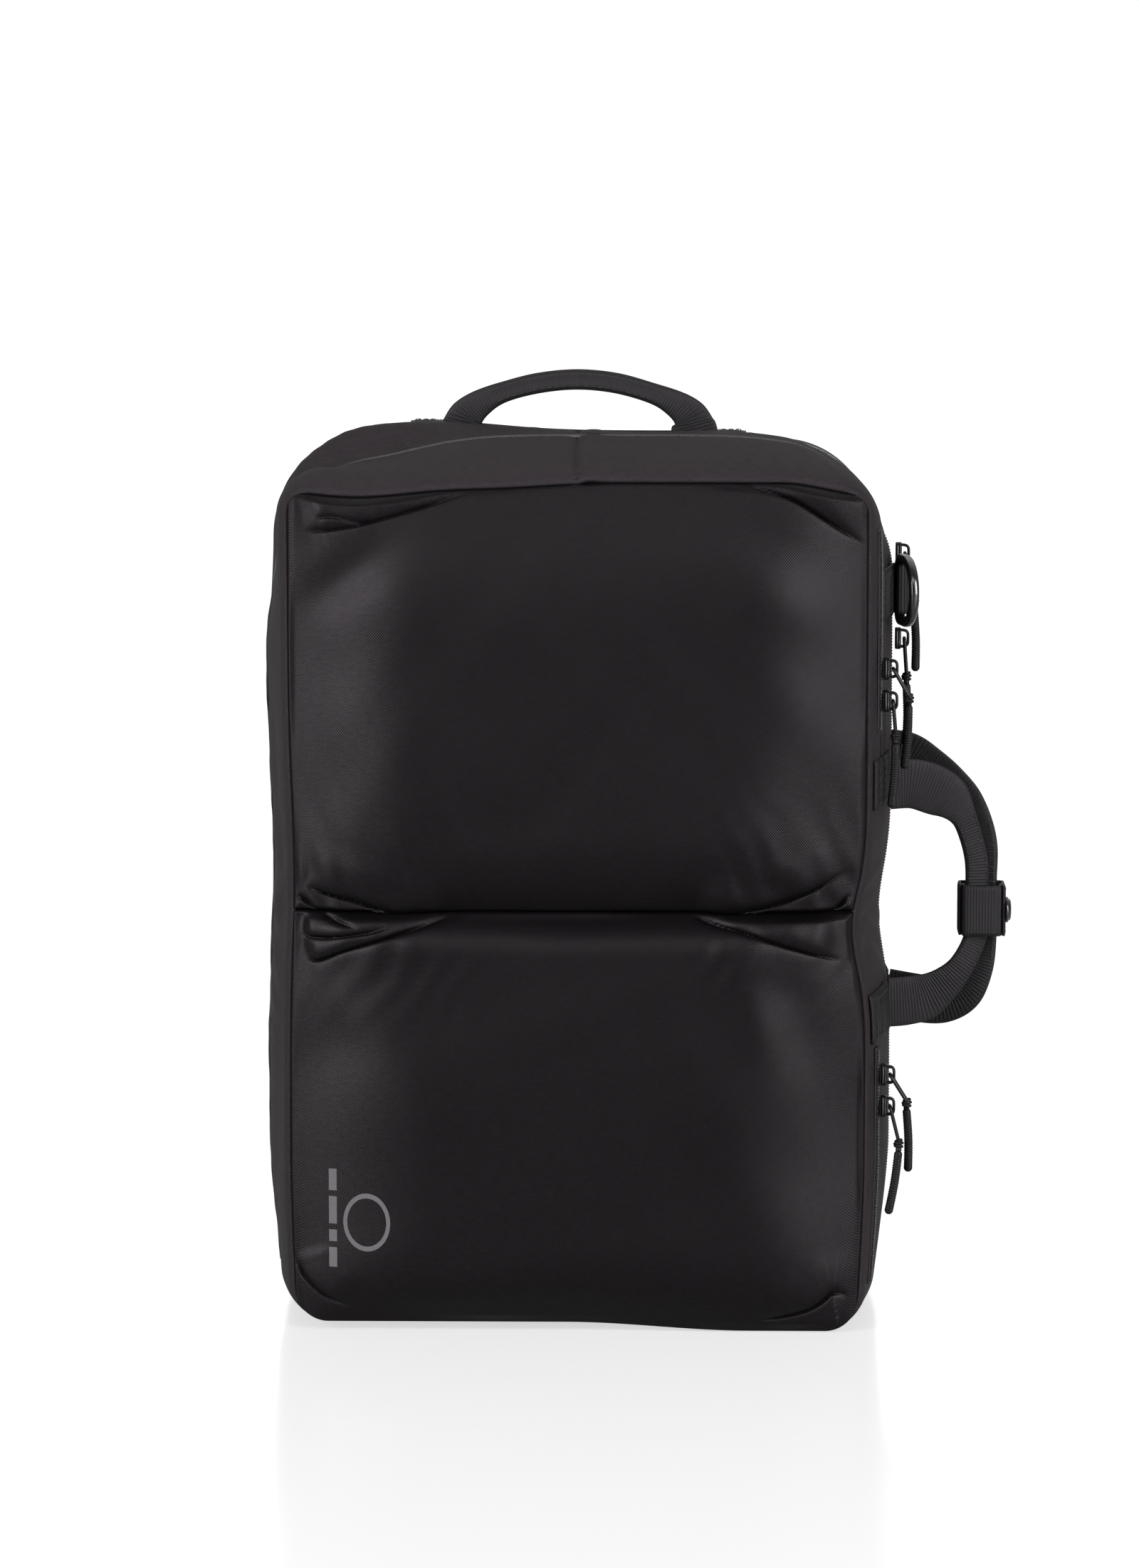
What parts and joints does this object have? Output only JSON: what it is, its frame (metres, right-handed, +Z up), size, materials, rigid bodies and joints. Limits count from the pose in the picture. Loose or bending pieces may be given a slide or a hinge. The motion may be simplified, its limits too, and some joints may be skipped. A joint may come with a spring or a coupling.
{
  "type": "travel backpack",
  "caption": "Upright soft travel backpack with a clamshell main compartment, front pockets, paired side handles in a snap wrap, a top handle and padded shoulder straps.",
  "frame": {"origin": "on the base, at the middle of the width and the depth, where the bag stands", "axes": "+Z up; the front face looks along -Y; +X is the side with the paired handles"},
  "size_m": [0.3752, 0.1772, 0.4723],
  "materials": {
    "black_metal": "black-coated die-cast zinc, satin",
    "gloss_plastic": "moulded, glossy black",
    "lining": "smooth lining cloth",
    "matte_plastic": "moulded, matte black",
    "pull_cord": "ribbed woven pull tab on black wire",
    "ring_metal": "black-coated wire",
    "shell_fabric": "dot-weave nylon, near-black with a soft sheen",
    "spacer_mesh": "open spacer mesh over foam",
    "webbing": "ribbed woven webbing",
    "zip_tape": "woven tape with a nylon coil"
  },
  "bodies": {
    "rear_body": {"back_panel": "lining", "back_pad_left": "spacer_mesh", "back_pad_right": "spacer_mesh", "luggage_sleeve": "shell_fabric", "rear_gusset_left": "shell_fabric", "rear_gusset_right": "shell_fabric", "rear_gusset_top": "shell_fabric", "rear_gusset_bottom": "shell_fabric", "rear_piping": "webbing", "main_zip_rear": "zip_tape", "laptop_sleeve": "lining", "strap_roots": "shell_fabric", "lower_anchors": "ring_metal", "rear_handle_bases": "webbing"},
    "front_body": {"front_gusset_left": "shell_fabric", "front_gusset_right": "shell_fabric", "front_gusset_top": "shell_fabric", "front_gusset_bottom": "shell_fabric", "pocket_wall": "lining", "pocket_divider": "lining", "upper_pocket_panel": "shell_fabric", "lower_pocket_panel": "shell_fabric", "front_piping": "webbing", "main_zip_front": "zip_tape", "upper_pocket_zip": "zip_tape", "lower_pocket_zip": "zip_tape", "d_ring_webbing": "webbing", "front_handle_bases": "webbing"},
    "top_handle": {"top_handle_webbing": "webbing"},
    "front_handle": {"front_handle_webbing": "webbing", "wrap_front_half": "webbing", "snap_stud": "black_metal"},
    "rear_handle": {"rear_handle_webbing": "webbing"},
    "wrap": {"wrap_flap": "webbing", "snap_cap": "gloss_plastic"},
    "d_ring": {"d_ring": "gloss_plastic"},
    "left_strap": {"left_strap_pad": "spacer_mesh", "left_ladder_lock": "matte_plastic"},
    "left_strap_lower": {"left_strap_webbing": "webbing", "left_strap_hook": "matte_plastic"},
    "right_strap": {"right_strap_pad": "spacer_mesh", "right_ladder_lock": "matte_plastic"},
    "right_strap_lower": {"right_strap_webbing": "webbing", "right_strap_hook": "matte_plastic"},
    "main_slider_upper": {"main_slider_upper": "black_metal"},
    "main_pull_upper": {"main_pull_upper": "pull_cord"},
    "main_slider_lower": {"main_slider_lower": "black_metal"},
    "main_pull_lower": {"main_pull_lower": "pull_cord"},
    "upper_pocket_slider_upper": {"upper_pocket_slider_upper": "black_metal"},
    "upper_pocket_pull_upper": {"upper_pocket_pull_upper": "pull_cord"},
    "upper_pocket_slider_lower": {"upper_pocket_slider_lower": "black_metal"},
    "upper_pocket_pull_lower": {"upper_pocket_pull_lower": "pull_cord"},
    "lower_pocket_slider_upper": {"lower_pocket_slider_upper": "black_metal"},
    "lower_pocket_pull_upper": {"lower_pocket_pull_upper": "pull_cord"},
    "lower_pocket_slider_lower": {"lower_pocket_slider_lower": "black_metal"},
    "lower_pocket_pull_lower": {"lower_pocket_pull_lower": "pull_cord"}
  },
  "joints": [
    {"name": "bag_opening", "type": "hinge", "parent": "rear_body", "child": "front_body", "pos_m": [-0.158, 0.004, 0.2], "axis": [0, 0, -1], "range_deg": [0, 100]},
    {"name": "top_handle_fold", "type": "hinge", "parent": "rear_body", "child": "top_handle", "pos_m": [0, 0.06, 0.442], "axis": [1, 0, 0], "range_deg": [-65, 65]},
    {"name": "front_handle_swing", "type": "hinge", "parent": "front_body", "child": "front_handle", "pos_m": [0.1575, -0.01, 0.216], "axis": [0, 0, -1], "range_deg": [0, 85]},
    {"name": "rear_handle_swing", "type": "hinge", "parent": "rear_body", "child": "rear_handle", "pos_m": [0.1575, 0.018, 0.216], "axis": [0, 0, 1], "range_deg": [0, 75]},
    {"name": "wrap_open", "type": "hinge", "parent": "front_handle", "child": "wrap", "pos_m": [0.1922, -0.002, 0.2035], "axis": [0, 0, 1], "range_deg": [0, 120], "deforming": ["wrap_flap"]},
    {"name": "d_ring_swing", "type": "hinge", "parent": "front_body", "child": "d_ring", "pos_m": [0.1602, -0.014, 0.368], "axis": [0, 0, 1], "range_deg": [-15, 77]},
    {"name": "left_strap_swing", "type": "hinge", "parent": "rear_body", "child": "left_strap", "pos_m": [-0.048, 0.0852, 0.426], "axis": [1, 0, 0], "range_deg": [0, 70]},
    {"name": "left_strap_length", "type": "slide", "parent": "left_strap", "child": "left_strap_lower", "axis": [0.1688, 0, 0.9857], "range_m": [0, 0.05]},
    {"name": "right_strap_swing", "type": "hinge", "parent": "rear_body", "child": "right_strap", "pos_m": [0.048, 0.0852, 0.426], "axis": [1, 0, 0], "range_deg": [0, 70]},
    {"name": "right_strap_length", "type": "slide", "parent": "right_strap", "child": "right_strap_lower", "axis": [-0.1688, 0, 0.9857], "range_m": [0, 0.05]},
    {"name": "zip_main_upper", "type": "slide", "parent": "rear_body", "child": "main_slider_upper", "axis": [0, 0, 1], "range_m": [-0.028, 0]},
    {"name": "pull_main_upper", "type": "hinge", "parent": "main_slider_upper", "child": "main_pull_upper", "pos_m": [0.16339, 0.004, 0.384], "axis": [0, -1, 0], "range_deg": [0, 140]},
    {"name": "zip_main_lower", "type": "slide", "parent": "rear_body", "child": "main_slider_lower", "axis": [0, 0, 1], "range_m": [-0.26, 0]},
    {"name": "pull_main_lower", "type": "hinge", "parent": "main_slider_lower", "child": "main_pull_lower", "pos_m": [0.16339, 0.004, 0.341], "axis": [0, -1, 0], "range_deg": [0, 140]},
    {"name": "zip_upper_pocket_upper", "type": "slide", "parent": "front_body", "child": "upper_pocket_slider_upper", "axis": [0, 0, 1], "range_m": [0, 0.04]},
    {"name": "pull_upper_pocket_upper", "type": "hinge", "parent": "upper_pocket_slider_upper", "child": "upper_pocket_pull_upper", "pos_m": [0.156, -0.05, 0.332], "axis": [0, -1, 0], "range_deg": [0, 140]},
    {"name": "zip_upper_pocket_lower", "type": "slide", "parent": "front_body", "child": "upper_pocket_slider_lower", "axis": [0, 0, 1], "range_m": [-0.008, 0]},
    {"name": "pull_upper_pocket_lower", "type": "hinge", "parent": "upper_pocket_slider_lower", "child": "upper_pocket_pull_lower", "pos_m": [0.156, -0.05, 0.316], "axis": [0, -1, 0], "range_deg": [0, 60]},
    {"name": "zip_lower_pocket_upper", "type": "slide", "parent": "front_body", "child": "lower_pocket_slider_upper", "axis": [0, 0, 1], "range_m": [0, 0.008]},
    {"name": "pull_lower_pocket_upper", "type": "hinge", "parent": "lower_pocket_slider_upper", "child": "lower_pocket_pull_upper", "pos_m": [0.156, -0.05, 0.128], "axis": [0, -1, 0], "range_deg": [0, 80]},
    {"name": "zip_lower_pocket_lower", "type": "slide", "parent": "front_body", "child": "lower_pocket_slider_lower", "axis": [0, 0, 1], "range_m": [-0.04, 0]},
    {"name": "pull_lower_pocket_lower", "type": "hinge", "parent": "lower_pocket_slider_lower", "child": "lower_pocket_pull_lower", "pos_m": [0.156, -0.05, 0.112], "axis": [0, -1, 0], "range_deg": [0, 50]}
  ]
}
